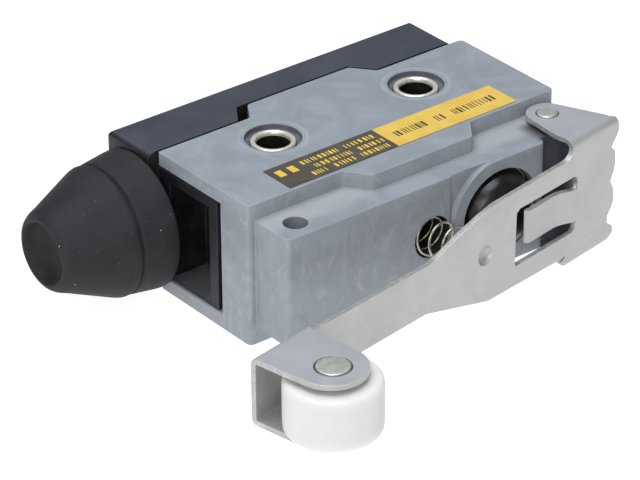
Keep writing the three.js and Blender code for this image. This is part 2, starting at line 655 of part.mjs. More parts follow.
function terminalClosed() {
  const { stem } = TERMINALS.nc;
  const across = box(stem - 1.1, stem + 1.1, 2.0, 2.8, MID_Z - 0.45, MID_Z + 4.0);
  const arm = box(stem - 1.1, stem + 1.1, -10.85, 2.8, MID_Z + 3.2, MID_Z + 4.0);
  const foot = box(-16.2, stem + 1.1, -10.85, -10.25, MID_Z - 1.5, MID_Z + 4.0);
  return terminal(TERMINALS.nc, across, arm, foot);
}

function screw(x) {
  const profile = [
    [0, 3.8], [1.2, 3.8], [1.4, 4.1], [1.4, 7.55], [2.9, 7.55], [2.9, 9.0], [2.5, 9.35], [0, 9.35],
  ];
  const slot = box(x - 2.0, x + 2.0, 8.75, 10, MID_Z - 0.35, MID_Z + 0.35);
  const cross = box(x - 0.35, x + 0.35, 8.75, 10, MID_Z - 2.0, MID_Z + 2.0);
  return cut(turnedY(profile, x, MID_Z, 18), slot, cross);
}

function clampPlate(x) {
  const plate = box(x - 3.0, x + 3.0, 6.55, 7.3, MID_Z - 3.0, MID_Z + 3.0);
  return cut(plate, turnedY(rod(1.65, 6, 8), x, MID_Z, 20));
}

function insulatingSheet() {
  const holes = COVER_SCREW_X.map((x) => turnedY(rod(1.9, 13, 15), x, MID_Z, 20));
  return cut(box(-19.0, 22.6, 13.6, 14.1, 2.6, HEIGHT - 2.6), ...holes);
}

// ---- assembly ----------------------------------------------------------------------
const L = LABEL_EDGE;

addNode('case_shell', caseShell(), greyPlastic);
addNode('terminal_cover', terminalCover(), blackPlastic);
addNode('cover_gasket', coverGasket(), blackRubber);
addNode('cover_screw_left', coverScrew(COVER_SCREW_X[0]), zincScrew);
addNode('cover_screw_right', coverScrew(COVER_SCREW_X[1]), zincScrew);
addNode('insulating_sheet', insulatingSheet(), fibreBoard);
addNode('cable_boot', cableBoot(), blackRubber);
addNode('sleeve_left', mountingSleeve(-1), brightNickel);
addNode('sleeve_right', mountingSleeve(1), brightNickel);
addNode('label_dark', label([
  [L.left, L.near], [L.split - 0.05, L.near], [L.split - 0.05, L.far], [L.left, L.far],
]), labelDark);
addNode('label_yellow', label([
  [L.split + 0.05, L.near], [L.right, L.near], [L.right, L.far], [L.split + 0.05, L.far],
]), labelYellow);
addNode('hinge_pin', hingePin(), brushedSteel);
addNode('roller_lever', rollerLever(), brushedSteel);
addNode('roller_axle', rollerAxle(), brushedSteel);
addNode('roller', roller(), whiteNylon);
addNode('return_spring', returnSpring(), brushedSteel);
addNode('plunger_seal', plungerSeal(), blackRubber);
addNode('seal_ring', sealRing(), brushedSteel);
addNode('plunger', plunger(), brushedSteel);
addNode('switch_base', switchBase(), switchPlastic);
addNode('switch_lid', switchLid(), lidPlastic);
addNode('switch_button', switchButton(), redButton);
addNode('snap_blade', snapBlade(), copper);
addNode('moving_contact', movingContact(), silver);
addNode('terminal_com', terminalCommon(), brass);
addNode('terminal_no', terminalOpen(), brass);
addNode('terminal_nc', terminalClosed(), brass);
addNode('contact_nc', fixedContact(-10.2, -9.5), silver);
addNode('contact_no', fixedContact(-7.2, -6.55), silver);
for (const [key, { x }] of Object.entries(TERMINALS)) {
  addNode(`clamp_${key}`, clampPlate(x), zincScrew);
  addNode(`screw_${key}`, screw(x), zincScrew);
}

export default part;
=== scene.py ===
"""Looks of the enclosed limit switch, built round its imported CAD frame."""

import math
import random

import bmesh
import bpy
from mathutils import Matrix, Vector


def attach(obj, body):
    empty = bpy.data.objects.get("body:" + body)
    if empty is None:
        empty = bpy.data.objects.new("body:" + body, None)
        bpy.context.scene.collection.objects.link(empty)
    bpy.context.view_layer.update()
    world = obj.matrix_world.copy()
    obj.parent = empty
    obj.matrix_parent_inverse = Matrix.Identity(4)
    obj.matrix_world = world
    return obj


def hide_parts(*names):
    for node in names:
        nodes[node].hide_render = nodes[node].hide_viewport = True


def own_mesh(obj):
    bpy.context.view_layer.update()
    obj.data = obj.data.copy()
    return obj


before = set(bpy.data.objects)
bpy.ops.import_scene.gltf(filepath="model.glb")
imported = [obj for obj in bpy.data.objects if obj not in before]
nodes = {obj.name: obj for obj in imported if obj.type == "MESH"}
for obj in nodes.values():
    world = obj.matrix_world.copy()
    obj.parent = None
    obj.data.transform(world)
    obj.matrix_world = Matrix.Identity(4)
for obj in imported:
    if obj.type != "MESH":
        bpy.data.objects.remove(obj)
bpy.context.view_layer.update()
MM = 0.001

# ---- sizes in millimetres, in the row frame -------------------------------------------
HEIGHT = 21.6
MID_Z = HEIGHT / 2
HOLE_X = 12.7
LEVER_ANGLE = math.radians(10.6)
HINGE = (22.7, -16.6)
AXLE_AT = (-64.85, -16.6)
BOOT_Y = 9.3
SEAL_X = 10.5
SEAL_SEAT = -19.1
SPRING_X = -1.2
SPRING_HOLE_R = 3.1
SPRING_MOUTH = -20.5
SPRING_HOLE_END = -13.9
LEDGE_TOP = HEIGHT - 2.47
LEDGE_HOLE = (-22.3, -17.15)
LEDGE_HOLE_R = 1.7
POCKET_R = 4.0
WITNESS_R = 4.75
SLEEVE_R = 3.22
SLEEVE_BORE = 2.38
# Where the painted shade by the hinge fades in, along X and along Y.
HINGE_SHADE_X = (17.2, 19.6)
HINGE_SHADE_Y = (-14.6, -16.6)


def lever_point(s, n, z=0.0):
    """A point of the lever's own frame, in the row frame, in millimetres."""
    c, k = math.cos(LEVER_ANGLE), math.sin(LEVER_ANGLE)
    return (HINGE[0] + s * c - n * k, HINGE[1] + s * k + n * c, z)


# ---- procedural materials -------------------------------------------------------------
class Shader:
    """A node tree with one Principled shader and millimetre coordinates."""

    def __init__(self, name, rough=0.5, metal=0.0, **sockets):
        self.mat = bpy.data.materials.new(name)
        self.mat.use_nodes = True
        self.tree = self.mat.node_tree
        self.tree.nodes.clear()
        out = self.tree.nodes.new("ShaderNodeOutputMaterial")
        self.bsdf = self.tree.nodes.new("ShaderNodeBsdfPrincipled")
        self.tree.links.new(self.bsdf.outputs[0], out.inputs[0])
        self.bsdf.inputs["Roughness"].default_value = rough
        self.bsdf.inputs["Metallic"].default_value = metal
        for key, value in sockets.items():
            self.bsdf.inputs[key.replace("_", " ")].default_value = value
        coords = self.tree.nodes.new("ShaderNodeTexCoord")
        scaled = self.node("ShaderNodeVectorMath", operation="SCALE")
        self.put(scaled.inputs[0], coords.outputs["Object"])
        scaled.inputs["Scale"].default_value = 1 / MM
        self.mm = scaled.outputs[0]

    def node(self, kind, **props):
        made = self.tree.nodes.new(kind)
        for key, value in props.items():
            setattr(made, key, value)
        return made

    def put(self, socket, value):
        if isinstance(value, bpy.types.NodeSocket):
            self.tree.links.new(value, socket)
        else:
            socket.default_value = value

    def math(self, operation, a, b=0.0):
        made = self.node("ShaderNodeMath", operation=operation)
        self.put(made.inputs[0], a)
        self.put(made.inputs[1], b)
        return made.outputs[0]

    def mapped(self, stretch, turn=0.0):
        """Coordinates turned by an angle about Z, then stretched along the turned axes."""
        made = self.node("ShaderNodeMapping", vector_type="TEXTURE")
        self.put(made.inputs["Vector"], self.mm)
        made.inputs["Scale"].default_value = stretch
        made.inputs["Rotation"].default_value = (0, 0, turn)
        return made.outputs[0]

    def along(self, axis):
        """One of the millimetre coordinates, X, Y or Z."""
        split = self.node("ShaderNodeSeparateXYZ")
        self.put(split.inputs[0], self.mm)
        return split.outputs["XYZ".index(axis)]

    def normal_z(self):
        """The Z part of the surface's direction."""
        split = self.node("ShaderNodeSeparateXYZ")
        self.put(split.inputs[0], self.node("ShaderNodeNewGeometry").outputs["Normal"])
        return split.outputs[2]

    def facing_up(self):
        """1 on faces that look up, 0 on upright faces."""
        return self.ramp(self.normal_z(), 0.6, 0.9)

    def noise(self, size, detail=4.0, rough=0.55, distortion=0.0, at=None):
        made = self.node("ShaderNodeTexNoise")
        self.put(made.inputs["Vector"], self.mm if at is None else at)
        made.inputs["Scale"].default_value = 1.0 / size
        made.inputs["Detail"].default_value = detail
        made.inputs["Roughness"].default_value = rough
        made.inputs["Distortion"].default_value = distortion
        return made.outputs[0]

    def ramp(self, value, low, high, start=0.0, end=1.0):
        """Smooth step from start to end as value goes from low to high."""
        made = self.node("ShaderNodeMapRange", interpolation_type="SMOOTHSTEP")
        self.put(made.inputs[0], value)
        for socket, number in zip(made.inputs[1:5], (low, high, start, end)):
            socket.default_value = number
        return made.outputs[0]

    def mix(self, factor, a, b):
        made = self.node("ShaderNodeMix", data_type="RGBA")
        self.put(made.inputs[0], factor)
        self.put(made.inputs[6], a)
        self.put(made.inputs[7], b)
        return made.outputs[2]

    def specks(self, size, share, spot):
        """Sparse round specks: cells of the given size, a share of them with a spot."""
        cells = self.node("ShaderNodeTexVoronoi")
        self.put(cells.inputs["Vector"], self.mm)
        cells.inputs["Scale"].default_value = 1.0 / size
        near = self.ramp(cells.outputs["Distance"], spot * 0.5, spot, 1.0, 0.0)
        split = self.node("ShaderNodeSeparateColor")
        self.put(split.inputs[0], cells.outputs["Color"])
        chosen = self.math("GREATER_THAN", split.outputs[0], 1.0 - share)
        return self.math("MULTIPLY", near, chosen)

    def edges(self, radius):
        """1 along edges, 0 on flats."""
        bevel = self.node("ShaderNodeBevel", samples=4)
        bevel.inputs["Radius"].default_value = radius * MM
        plain = self.node("ShaderNodeNewGeometry").outputs["Normal"]
        made = self.node("ShaderNodeVectorMath", operation="DOT_PRODUCT")
        self.put(made.inputs[0], bevel.outputs[0])
        self.put(made.inputs[1], plain)
        away = self.math("SUBTRACT", 1.0, made.outputs["Value"])
        return self.ramp(away, 0.02, 0.25)

    def color(self, value):
        self.put(self.bsdf.inputs["Base Color"], value)

    def rough(self, value):
        self.put(self.bsdf.inputs["Roughness"], value)

    def bump(self, *layers):
        """Layers of (height, depth in mm, strength)."""
        normal = None
        for height, depth, strength in layers:
            made = self.node("ShaderNodeBump")
            made.inputs["Strength"].default_value = strength
            made.inputs["Distance"].default_value = depth * MM
            self.put(made.inputs["Height"], height)
            if normal is not None:
                self.put(made.inputs["Normal"], normal)
            normal = made.outputs[0]
        self.put(self.bsdf.inputs["Normal"], normal)


def rgb(code):
    """Linear colour with alpha from a hex sRGB code."""
    parts = [int(code[i : i + 2], 16) / 255 for i in (1, 3, 5)]
    linear = [c / 12.92 if c <= 0.04045 else ((c + 0.055) / 1.055) ** 2.4 for c in parts]
    return (*linear, 1.0)


def grey_plastic():
    """Mottled grey moulding: paler flow marks on its upright faces, rubbed edges partly lightened
    as a painted edge highlight, painted light on the ledge by the step and on all upright faces,
    and painted shade by the hinge.
    """
    m = Shader("grey_moulded_plastic", Specular_IOR_Level=0.4)
    swirl = m.noise(11.0, 6.0, 0.55, 2.6)
    flow = m.noise(4.2, 5.0, 0.6, 3.6, m.mapped((1.0, 1.0, 1.9), 0.5))
    cloud = m.noise(24.0, 3.0, 0.5)
    base = m.mix(m.ramp(swirl, 0.34, 0.68), rgb("#868d95"), rgb("#9198a1"))
    base = m.mix(m.ramp(cloud, 0.35, 0.7, 0.0, 0.3), base, rgb("#7f868f"))
    upright = m.ramp(m.math("ABSOLUTE", m.normal_z()), 0.3, 0.9, 1.0, 0.0)
    streak = m.math("MULTIPLY", m.ramp(flow, 0.54, 0.68), m.math("MULTIPLY", upright, 0.55))
    base = m.mix(streak, base, rgb("#a3a7ab"))
    shade = m.math("MULTIPLY", m.ramp(flow, 0.46, 0.33), m.math("MULTIPLY", upright, 0.35))
    base = m.mix(shade, base, rgb("#757b83"))
    grain = m.noise(0.28, 3.0, 0.6)
    base = m.mix(m.ramp(grain, 0.3, 0.8, 0.0, 0.1), base, rgb("#b0b6bc"))
    scratch = m.noise(0.8, 2.0, 0.5, 0.8, m.mapped((9.0, 0.7, 3.0), 0.9))
    base = m.mix(m.ramp(scratch, 0.7, 0.78, 0.0, 0.16), base, rgb("#b4bac0"))
    base = m.mix(m.math("MULTIPLY", m.specks(1.5, 0.12, 0.07), 0.3), base, rgb("#c4c9ce"))
    x, y = m.along("X"), m.along("Y")
    sleeve = m.math("SUBTRACT", m.math("ABSOLUTE", x), HOLE_X)
    reach = m.math("ADD", m.math("MULTIPLY", sleeve, sleeve), m.math("MULTIPLY", y, y))
    rim = m.math("ABSOLUTE", m.math("SUBTRACT", m.math("SQRT", reach), WITNESS_R))
    mark = m.math("MULTIPLY", m.ramp(rim, 0.1, 0.35, 1.0, 0.0), m.ramp(cloud, 0.3, 0.6, 0.05, 0.28))
    base = m.mix(m.math("MULTIPLY", mark, m.math("SUBTRACT", 1.0, upright)), base, rgb("#b6bcc4"))
    # Rubbed edges, partly a painted edge highlight: lighter along the edges in patches.
    worn = m.math("MULTIPLY", m.edges(0.3), m.ramp(m.noise(1.6, 4.0), 0.3, 0.65, 0.1, 0.45))
    base = m.mix(worn, base, rgb("#b4bbc2"))
    # Painted light: the up-facing ledge top is lightened towards the step.
    below_top = m.ramp(m.along("Z"), LEDGE_TOP + 0.47, LEDGE_TOP + 0.17)
    ledge = m.math("MULTIPLY", m.facing_up(), below_top)
    near_step = m.ramp(y, -18.8, -16.4, 0.0, 0.6)
    base = m.mix(m.math("MULTIPLY", ledge, near_step), base, rgb("#a9abad"))
    # Painted light: all upright faces are lightened a little.
    base = m.mix(m.math("MULTIPLY", upright, 0.12), base, rgb("#b2b6ba"))
    # Painted shade: the case turns near-black towards the hinge lug, where the lever's ears shade
    # it.
    hinge_shade = m.math("MULTIPLY", m.ramp(x, *HINGE_SHADE_X), m.ramp(y, *HINGE_SHADE_Y))
    base = m.mix(m.math("MULTIPLY", hinge_shade, 0.86), base, rgb("#24262b"))
    m.color(base)
    m.rough(m.ramp(swirl, 0.3, 0.7, 0.46, 0.6))
    m.bump((grain, 0.02, 0.3), (flow, 0.06, 0.15), (m.noise(1.2, 3.0), 0.03, 0.2))
    return m.mat


def black_plastic():
    m = Shader("black_moulded_plastic", Specular_IOR_Level=0.34)
    cloud = m.noise(14.0, 5.0, 0.6, 0.8)
    fine = m.noise(0.22, 2.0)
    # Painted light: up-facing faces get a lighter copy of the black, upright faces a darker one.
    top = m.mix(m.ramp(cloud, 0.3, 0.72), rgb("#373b46"), rgb("#434752"))
    side = m.mix(m.ramp(cloud, 0.3, 0.72), rgb("#1b1b1e"), rgb("#242428"))
    base = m.mix(m.facing_up(), side, top)
    base = m.mix(m.ramp(fine, 0.5, 0.85, 0.0, 0.2), base, rgb("#4a4e56"))
    dust = m.math("MULTIPLY", m.specks(1.6, 0.2, 0.07), 0.5)
    base = m.mix(dust, base, rgb("#8d949e"))
    # Rubbed edges, partly a painted edge highlight: lighter along the edges in patches.
    worn = m.math("MULTIPLY", m.edges(0.25), m.ramp(m.noise(2.2, 3.0), 0.35, 0.7, 0.1, 0.6))
    base = m.mix(worn, base, rgb("#545962"))
    m.color(base)
    m.rough(m.ramp(cloud, 0.3, 0.7, 0.42, 0.56))
    m.bump((fine, 0.012, 0.3), (m.noise(2.5, 4.0), 0.03, 0.2))
    return m.mat


def gloss_black():
    m = Shader("black_pocket_plastic", Specular_IOR_Level=0.5)
    cloud = m.noise(5.0, 4.0, 0.6)
    m.color(m.mix(m.ramp(cloud, 0.3, 0.7), rgb("#141416"), rgb("#222225")))
    m.rough(m.ramp(cloud, 0.3, 0.7, 0.2, 0.34))
    m.bump((m.noise(1.2, 3.0), 0.02, 0.2))
    return m.mat


def lit_pocket_floor():
    # Painted light: a lighter grey-black for the pocket's up-facing floor, with dust specks.
    m = Shader("painted_light_pocket_floor", Specular_IOR_Level=0.4)
    cloud = m.noise(3.0, 5.0, 0.6, 0.8)
    base = m.mix(m.ramp(cloud, 0.3, 0.7), rgb("#4c4d50"), rgb("#5c5d60"))
    base = m.mix(m.math("MULTIPLY", m.specks(1.2, 0.3, 0.07), 0.5), base, rgb("#a5a6a9"))
    m.color(base)
    m.rough(m.ramp(cloud, 0.3, 0.7, 0.4, 0.55))
    m.bump((m.noise(0.3, 3.0), 0.015, 0.3))
    return m.mat


def boot_rubber():
    m = Shader("matt_black_rubber", Specular_IOR_Level=0.2)
    cloud = m.noise(6.0, 5.0, 0.6)
    fine = m.noise(0.16, 2.0)
    base = m.mix(m.ramp(cloud, 0.32, 0.7), rgb("#252428"), rgb("#2e2d31"))
    bloom = m.noise(2.6, 5.0, 0.65, 1.0)
    base = m.mix(m.ramp(bloom, 0.58, 0.8, 0.0, 0.2), base, rgb("#4b4a50"))
    small = m.math("MULTIPLY", m.specks(0.8, 0.3, 0.12), 0.5)
    base = m.mix(small, base, rgb("#77767d"))
    large = m.math("MULTIPLY", m.specks(1.5, 0.5, 0.08), m.ramp(bloom, 0.5, 0.56, 0.0, 1.0))
    base = m.mix(large, base, rgb("#b9b8bc"))
    m.color(base)
    m.rough(m.ramp(cloud, 0.3, 0.7, 0.55, 0.7))
    m.bump((fine, 0.02, 0.3), (m.noise(1.5, 3.0), 0.03, 0.2))
    return m.mat


def seal_rubber():
    m = Shader("glossy_seal_rubber", Specular_IOR_Level=0.5)
    cloud = m.noise(2.2, 4.0, 0.6)
    base = m.mix(m.ramp(cloud, 0.3, 0.7), rgb("#0b0b0c"), rgb("#19191b"))
    base = m.mix(m.math("MULTIPLY", m.specks(1.5, 0.15, 0.06), 0.5), base, rgb("#77777b"))
    m.color(base)
    m.rough(m.ramp(cloud, 0.3, 0.7, 0.22, 0.36))
    m.bump((m.noise(0.8, 3.0), 0.02, 0.25))
    return m.mat


def sheet_steel():
    m = Shader("brushed_sheet_steel", metal=0.5, Specular_IOR_Level=0.45)
    grain = m.noise(0.22, 3.0, 0.6, 0.0, m.mapped((1.0, 1.0, 9.0), LEVER_ANGLE))
    rolled = m.noise(0.6, 3.0, 0.6, 0.0, m.mapped((14.0, 1.0, 1.0), LEVER_ANGLE))
    cloud = m.noise(7.0, 4.0, 0.55, 0.6)
    base = m.mix(m.ramp(cloud, 0.3, 0.7), rgb("#afafae"), rgb("#bcbcba"))
    base = m.mix(m.ramp(grain, 0.3, 0.75, 0.0, 0.14), base, rgb("#c6c6c4"))
    base = m.mix(m.ramp(rolled, 0.6, 0.35, 0.0, 0.08), base, rgb("#8f908e"))
    # Painted reflection: up-facing faces are tinted paler blue-grey.
    base = m.mix(m.math("MULTIPLY", m.facing_up(), 0.9), base, rgb("#b8bac0"))
    pits = m.math("MULTIPLY", m.specks(1.1, 0.25, 0.07), 0.3)
    base = m.mix(pits, base, rgb("#7c7e7f"))
    # Painted highlight: the sheet is lightened along its edges in patches.
    painted_edge_highlight = m.math("MULTIPLY", m.edges(0.16), m.ramp(m.noise(0.9, 4.0), 0.3, 0.6, 0.1, 0.75))
    base = m.mix(painted_edge_highlight, base, rgb("#e2e2e0"))
    m.color(base)
    m.rough(m.ramp(cloud, 0.3, 0.7, 0.4, 0.5))
    m.bump((grain, 0.01, 0.18), (rolled, 0.01, 0.08), (cloud, 0.05, 0.1))
    return m.mat


def cut_steel():
    m = Shader("sheared_steel_edge", metal=0.6)
    torn = m.noise(0.35, 5.0, 0.7, 0.5)
    bright = m.noise(1.3, 3.0, 0.6)
    base = m.mix(m.ramp(torn, 0.34, 0.64), rgb("#a3a4a3"), rgb("#bdbdba"))
    base = m.mix(m.ramp(bright, 0.5, 0.66, 0.0, 0.35), base, rgb("#e6e6e3"))
    m.color(base)
    m.rough(m.ramp(torn, 0.3, 0.7, 0.3, 0.48))
    m.bump((torn, 0.04, 0.35))
    return m.mat


def nickel():
    m = Shader("bright_nickel_plate", metal=0.6)
    cloud = m.noise(1.6, 4.0, 0.6)
    film = m.noise(3.0, 2.0, 0.5)
    base = m.mix(m.ramp(cloud, 0.3, 0.72), rgb("#dedbcf"), rgb("#eeebe0"))
    m.color(base)
    m.rough(m.ramp(film, 0.3, 0.7, 0.24, 0.36))
    m.bump((film, 0.01, 0.05))
    return m.mat


def shaded_sleeve_bore():
    # Painted shade: near-black brown for the inside of the bore.
    m = Shader("painted_shade_bore", metal=0.3, Specular_IOR_Level=0.3)
    film = m.noise(1.2, 4.0, 0.6)
    m.color(m.mix(m.ramp(film, 0.3, 0.7), rgb("#15110b"), rgb("#2a241a")))
    m.rough(m.ramp(film, 0.3, 0.7, 0.5, 0.7))
    m.bump((m.noise(0.3, 3.0), 0.01, 0.2))
    return m.mat


def pin_steel():
    m = Shader("turned_pin_steel", metal=0.65)
    cloud = m.noise(0.8, 4.0, 0.6)
    fine = m.noise(0.12, 3.0, 0.6)
    base = m.mix(m.ramp(cloud, 0.3, 0.7), rgb("#c2c3bd"), rgb("#cbcbc6"))
    base = m.mix(m.ramp(fine, 0.55, 0.8, 0.0, 0.15), base, rgb("#93958f"))
    m.color(base)
    m.rough(m.ramp(cloud, 0.3, 0.7, 0.3, 0.45))
    m.bump((fine, 0.01, 0.12))
    return m.mat


def spring_steel():
    m = Shader("spring_wire", metal=1.0)
    drawn = m.noise(0.4, 3.0, 0.6)
    m.color(m.mix(m.ramp(drawn, 0.3, 0.7), rgb("#aaa294"), rgb("#dcd6ca")))
    m.rough(m.ramp(drawn, 0.3, 0.7, 0.22, 0.36))
    m.bump((m.noise(0.1, 2.0), 0.01, 0.3))
    return m.mat


def nylon():
    m = Shader(
        "white_nylon", Subsurface_Weight=0.6, Subsurface_Scale=0.003, Specular_IOR_Level=0.4
    )
    m.bsdf.inputs["Subsurface Radius"].default_value = (1.0, 0.97, 0.8)
    cloud = m.noise(4.0, 3.0, 0.5)
    turned = m.noise(0.2, 2.0, 0.5, 0.0, m.mapped((20.0, 20.0, 1.0)))
    m.color(m.mix(m.ramp(cloud, 0.3, 0.7), rgb("#d8d7d6"), rgb("#dedddb")))
    m.rough(m.ramp(turned, 0.3, 0.7, 0.42, 0.55))
    m.bump((turned, 0.008, 0.3), (m.noise(1.2, 3.0), 0.02, 0.15))
    return m.mat


def foil(name, low, high, speck):
    m = Shader(name, Specular_IOR_Level=0.4)
    cloud = m.noise(3.0, 4.0, 0.6)
    print_grain = m.noise(0.18, 3.0, 0.6)
    base = m.mix(m.ramp(cloud, 0.3, 0.7), rgb(low), rgb(high))
    m.color(m.mix(m.ramp(print_grain, 0.5, 0.85, 0.0, 0.12), base, rgb(speck)))
    m.rough(m.ramp(cloud, 0.3, 0.7, 0.45, 0.58))
    m.bump((print_grain, 0.008, 0.25), (cloud, 0.03, 0.15))
    return m.mat


def ink(name, low, high):
    m = Shader(name)
    worn = m.noise(0.3, 4.0, 0.6)
    m.color(m.mix(m.ramp(worn, 0.35, 0.7), rgb(low), rgb(high)))
    m.rough(m.ramp(worn, 0.3, 0.7, 0.45, 0.6))
    m.bump((worn, 0.005, 0.2))
    return m.mat


def plain_metal(name, low, high, rough):
    m = Shader(name, metal=0.95)
    cloud = m.noise(1.5, 4.0, 0.6)
    m.color(m.mix(m.ramp(cloud, 0.3, 0.7), rgb(low), rgb(high)))
    m.rough(m.ramp(cloud, 0.3, 0.7, rough - 0.06, rough + 0.08))
    m.bump((m.noise(0.15, 3.0), 0.01, 0.3))
    return m.mat


def plain_plastic(name, low, high, rough):
    m = Shader(name)
    cloud = m.noise(2.5, 5.0, 0.6, 0.8)
    m.color(m.mix(m.ramp(cloud, 0.3, 0.7), rgb(low), rgb(high)))
    m.rough(m.ramp(cloud, 0.3, 0.7, rough - 0.06, rough + 0.08))
    m.bump((m.noise(0.25, 3.0), 0.015, 0.3))
    return m.mat


def floor_material():
    m = Shader("pale_floor", rough=0.9, Specular_IOR_Level=0.1)
    m.color(m.mix(m.ramp(m.noise(60.0, 2.0), 0.3, 0.7), rgb("#8a8a8a"), rgb("#919191")))
    m.bsdf.inputs["Emission Color"].default_value = (1, 1, 1, 1)
    m.bsdf.inputs["Emission Strength"].default_value = 0.92
    return m.mat


GREY = grey_plastic()
BLACK = black_plastic()
POCKET = gloss_black()
LIT_POCKET_FLOOR = lit_pocket_floor()
RUBBER = boot_rubber()
SEAL = seal_rubber()
SHEET = sheet_steel()
EDGE = cut_steel()
NICKEL = nickel()
SHADED_BORE = shaded_sleeve_bore()
PIN = pin_steel()
WIRE = spring_steel()
NYLON = nylon()
YELLOW = foil("yellow_foil", "#d8b24b", "#ddbd5b", "#efe0b4")
DARK = foil("dark_foil", "#46433a", "#504d44", "#6e6b62")
DARK_INK = ink("dark_ink", "#3a3326", "#544a36")
YELLOW_INK = ink("yellow_ink", "#d8b23a", "#ecc94f")
ZINC = plain_metal("zinc_plated_steel", "#b4b7ba", "#d4d6d8", 0.32)
BRASS = plain_metal("stamped_brass", "#b58f3e", "#d8b45a", 0.34)
COPPER = plain_metal("spring_copper", "#b46c3b", "#d28a55", 0.36)
SILVER = plain_metal("contact_silver", "#cfd0d2", "#ececee", 0.24)
PHENOLIC = plain_plastic("brown_phenolic", "#33241c", "#453227", 0.5)
PHENOLIC_LID = plain_plastic("brown_phenolic_lid", "#413024", "#55402f", 0.5)
RED = plain_plastic("red_button_plastic", "#962820", "#b23a30", 0.36)
FIBRE = plain_plastic("fibre_board", "#97774c", "#b59465", 0.8)
# Painted shade: darker materials for the sleeve pockets, the spring hole and the ledge hole.
RECESS = plain_plastic("shaded_recess", "#54555f", "#66676f", 0.6)
SCREW_HOLE = plain_plastic("shaded_screw_hole", "#787b83", "#878a91", 0.6)
SHADED_HOLE = plain_plastic("shaded_blind_hole", "#1d1b18", "#2b2824", 0.6)
DULL_RUBBER = plain_plastic("gasket_rubber", "#1f1f21", "#2d2d30", 0.7)


# ---- mesh helpers ---------------------------------------------------------------------
def add_piece(name, mesh, body, replaced, sharp=32.0):
    """Puts a mesh in metres into the scene, on its body and in place of its CAD nodes."""
    mesh.shade_smooth()
    mesh.set_sharp_from_angle(angle=math.radians(sharp))
    obj = bpy.data.objects.new(name, mesh)
    bpy.context.scene.collection.objects.link(obj)
    normals = obj.modifiers.new("face_normals", "WEIGHTED_NORMAL")
    normals.keep_sharp = True
    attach(obj, body)
    if replaced:
        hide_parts(*replaced)
    return obj


def softened(points, radius, steps=3):
    """The open profile with each inner corner replaced by a small arc."""
    made = [points[0]]
    for before, here, after in zip(points, points[1:], points[2:]):
        a, b, c = Vector(before), Vector(here), Vector(after)
        reach = min(radius, (a - b).length * 0.45, (c - b).length * 0.45)
        start, end = b + (a - b).normalized() * reach, b + (c - b).normalized() * reach
        for k in range(steps + 1):
            t = k / steps
            made.append(tuple((1 - t) ** 2 * start + 2 * t * (1 - t) * b + t * t * end))
    made.append(points[-1])
    return made


def lathe(name, profile, axis, centre, segments=96, closed=False):
    """Mesh of an (r, h) profile in millimetres turned round an axis through centre."""
    bm = bmesh.new()
    loops = []
    for r, h in profile:
        if r < 1e-6:
            loops.append([bm.verts.new((0, 0, h))])
            continue
        turn = [2 * math.pi * k / segments for k in range(segments)]
        loops.append([bm.verts.new((r * math.cos(t), r * math.sin(t), h)) for t in turn])
    pairs = list(zip(loops, loops[1:]))
    if closed:
        pairs.append((loops[-1], loops[0]))
    for a, b in pairs:
        for k in range(segments):
            n = (k + 1) % segments
            corners = [a[k % len(a)], a[n % len(a)], b[n % len(b)], b[k % len(b)]]
            face = list(dict.fromkeys(corners))
            if len(face) > 2:
                bm.faces.new(face)
    turns = {"X": Matrix.Rotation(math.pi / 2, 4, "Y"), "Y": Matrix.Rotation(-math.pi / 2, 4, "X")}
    move = Matrix.Scale(MM, 4) @ Matrix.Translation(centre)
    bm.transform(move @ turns.get(axis, Matrix.Identity(4)))
    bmesh.ops.recalc_face_normals(bm, faces=bm.faces)
    mesh = bpy.data.meshes.new(name)
    bm.to_mesh(mesh)
    bm.free()
    return mesh


def tube(name, points, radius, sides=10):
    """Mesh of a round wire along points in millimetres, closed at both ends."""
    bm = bmesh.new()
    points = [Vector(p) for p in points]
    side = Vector((0, 0, 1))
    rings = []
    for i, p in enumerate(points):
        ahead = (points[min(i + 1, len(points) - 1)] - points[max(i - 1, 0)]).normalized()
        side = (side - ahead * side.dot(ahead)).normalized()
        other = ahead.cross(side)
        turn = [2 * math.pi * k / sides for k in range(sides)]
        rings.append([
            bm.verts.new((p + side * radius * math.cos(t) + other * radius * math.sin(t)) * MM)
            for t in turn
        ])
    for a, b in zip(rings, rings[1:]):
        for k in range(sides):
            bm.faces.new((a[k], a[(k + 1) % sides], b[(k + 1) % sides], b[k]))
    bm.faces.new(rings[0][::-1])
    bm.faces.new(rings[-1])
    bmesh.ops.recalc_face_normals(bm, faces=bm.faces)
    mesh = bpy.data.meshes.new(name)
    bm.to_mesh(mesh)
    bm.free()
    return mesh


def cad_mesh(node):
    """The CAD node's solid, welded and with its flat faces whole, as a bmesh."""
    bm = bmesh.new()
    bm.from_mesh(nodes[node].data)
    bmesh.ops.remove_doubles(bm, verts=bm.verts, dist=2e-6)
    bmesh.ops.dissolve_limit(
        bm, angle_limit=math.radians(0.8), verts=bm.verts, edges=bm.edges
    )
    return bm


def soften_edges(bm, width, angle=38.0):
    """Rounds the edges sharper than angle by width millimetres."""
    sharp = [
        e for e in bm.edges
        if len(e.link_faces) == 2 and e.calc_face_angle(0.0) > math.radians(angle)
    ]
    bmesh.ops.bevel(
        bm, geom=sharp, offset=width * MM, offset_type="OFFSET", segments=2,
        profile=0.5, affect="EDGES", clamp_overlap=False,
    )


def finish_mesh(name, bm, *materials):
    mesh = bpy.data.meshes.new(name)
    bm.to_mesh(mesh)
    bm.free()
    for material in materials:
        mesh.materials.append(material)
    return mesh


